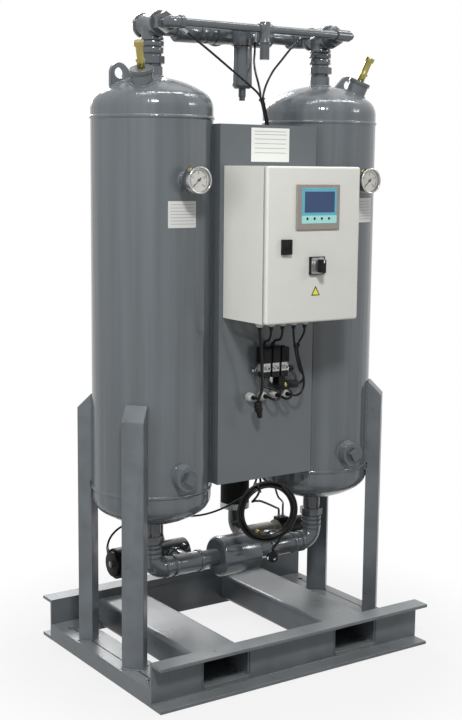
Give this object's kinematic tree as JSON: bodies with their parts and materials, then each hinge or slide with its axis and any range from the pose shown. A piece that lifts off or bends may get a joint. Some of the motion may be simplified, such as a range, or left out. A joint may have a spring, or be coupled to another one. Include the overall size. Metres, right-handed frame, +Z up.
{
  "type": "desiccant air dryer",
  "caption": "Twin-tower desiccant dryer for compressed air: tall grey pressure vessels joined by top and bottom pipework on a forklift skid, with a front control cabinet and a coiled mains lead",
  "frame": {"origin": "floor level under the middle of the whole outline, cords left out", "axes": "+Z up, +X to the right of a person who faces the cabinet, +Y to the rear: the cabinet faces -Y"},
  "size_m": [0.9, 0.71, 1.7639],
  "materials": {
    "frame_paint": "satin grey enamel",
    "vessel_paint": "satin grey enamel",
    "pipe_paint": "satin grey enamel over threaded fittings",
    "cabinet_paint": "pale powder coat",
    "stainless": "brushed",
    "galvanised": "zinc plated",
    "brass": "turned",
    "glass": "clear",
    "pointer_black": "matt black",
    "black_plastic": "matt black",
    "black_rubber": "matt black sheath",
    "screen_plastic": "smooth bezel with a film front",
    "gland_plastic": "pale grey",
    "desiccant": "packed white beads",
    "filter_media": "pleated white"
  },
  "bodies": {
    "dryer": {"front_channel": "frame_paint", "rear_channel": "frame_paint", "left_side_channel": "frame_paint", "right_side_channel": "frame_paint", "left_fork_tube": "frame_paint", "right_fork_tube": "frame_paint", "posts": "frame_paint", "left_vessel": "vessel_paint", "right_vessel": "vessel_paint", "left_desiccant_bed": "desiccant", "right_desiccant_bed": "desiccant", "bed_strainers": "stainless", "vessel_plugs": "vessel_paint", "safety_valves": "brass", "left_gauge": "stainless", "left_gauge_glass": "glass", "right_gauge": "stainless", "right_gauge_glass": "glass", "left_top_union": "pipe_paint", "right_top_union": "pipe_paint", "left_outlet_tee": "pipe_paint", "right_outlet_tee": "pipe_paint", "left_check_valve": "pipe_paint", "right_check_valve": "pipe_paint", "outlet_cross": "pipe_paint", "left_purge_branch": "pipe_paint", "throttle_valve": "pipe_paint", "right_purge_branch": "pipe_paint", "filter_head": "pipe_paint", "filter_bowl": "pipe_paint", "filter_element": "filter_media", "left_bottom_leg": "pipe_paint", "right_bottom_leg": "pipe_paint", "inlet_drum": "pipe_paint", "left_purge_valve": "black_plastic", "right_purge_valve": "black_plastic", "left_silencer": "black_plastic", "right_silencer": "black_plastic", "control_panel": "frame_paint", "cabinet_body": "cabinet_paint", "controls_plate": "galvanised", "cable_glands": "gland_plastic", "pilot_valve_block": "galvanised", "solenoid_coils": "black_plastic", "left_pilot_tube": "black_rubber", "centre_pilot_tube": "black_rubber", "right_pilot_tube": "black_rubber", "left_actuator_tube": "black_rubber", "right_actuator_tube": "black_rubber", "control_leads": "black_rubber", "power_cable": "black_rubber", "power_coil": "black_rubber", "power_plug": "black_plastic"},
    "door": {"cabinet_door": "cabinet_paint", "hmi": "screen_plastic", "switch_plate": "stainless"},
    "latch": {"door_latch": "black_plastic"},
    "switch": {"switch_knob": "black_plastic"},
    "left_gauge_pointer": {"left_pointer": "pointer_black"},
    "right_gauge_pointer": {"right_pointer": "pointer_black"}
  },
  "joints": [
    {"name": "door_hinge", "type": "hinge", "parent": "dryer", "child": "door", "pos_m": [0.149, -0.314, 1.17], "axis": [0, 0, 1], "range_deg": [0, 105]},
    {"name": "latch_turn", "type": "hinge", "parent": "door", "child": "latch", "pos_m": [-0.087, -0.32, 1.167], "axis": [0, 1, 0], "range_deg": [0, 90]},
    {"name": "switch_turn", "type": "hinge", "parent": "door", "child": "switch", "pos_m": [0.012, -0.328, 1.117], "axis": [0, 1, 0], "range_deg": [0, 90]},
    {"name": "left_pointer_turn", "type": "hinge", "parent": "dryer", "child": "left_gauge_pointer", "pos_m": [-0.2785, -0.20795, 1.333], "axis": [0, 1, 0], "range_deg": [0, 270], "stiffness_Nm_per_rad": 0.002},
    {"name": "right_pointer_turn", "type": "hinge", "parent": "dryer", "child": "right_gauge_pointer", "pos_m": [0.2785, -0.20795, 1.333], "axis": [0, 1, 0], "range_deg": [0, 270], "stiffness_Nm_per_rad": 0.002}
  ]
}
